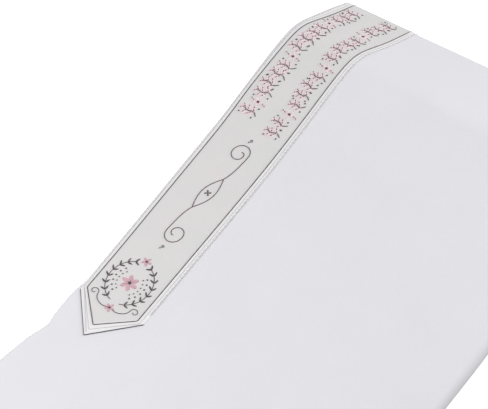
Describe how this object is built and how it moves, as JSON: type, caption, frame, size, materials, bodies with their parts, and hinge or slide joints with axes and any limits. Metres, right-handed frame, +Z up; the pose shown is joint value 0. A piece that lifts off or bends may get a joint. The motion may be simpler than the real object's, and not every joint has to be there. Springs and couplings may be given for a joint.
{
  "type": "folded tallit prayer shawl",
  "caption": "Off-white woven prayer shawl folded flat, with a satin neck band round its folded end and knotted corner tassels.",
  "frame": {"origin": "centre of the folded pack's flat underside", "axes": "+X towards the fold across the middle, -X towards the open short ends and tassels, +Y towards the neck edge and its band, +Z up"},
  "size_m": [1.2575, 0.5064, 0.0466],
  "materials": {
    "shawl_cloth": "fine matt weave, off-white with a cool cast",
    "inner_cloth": "fine matt weave, off-white with a cool cast",
    "atarah_satin": "silvery satin with a faint sheen",
    "tzitzit_wool": "twisted wool yarn, off-white",
    "rose_thread": "satin embroidery thread, dusty rose",
    "grey_thread": "satin embroidery thread, dark grey"
  },
  "bodies": {
    "root": {"shawl_outer_layer": "shawl_cloth", "inner_layers": "inner_cloth", "atarah": "atarah_satin", "tzitzit_1": "tzitzit_wool", "tzitzit_2": "tzitzit_wool", "tzitzit_3": "tzitzit_wool", "tzitzit_4": "tzitzit_wool"}
  },
  "joints": []
}
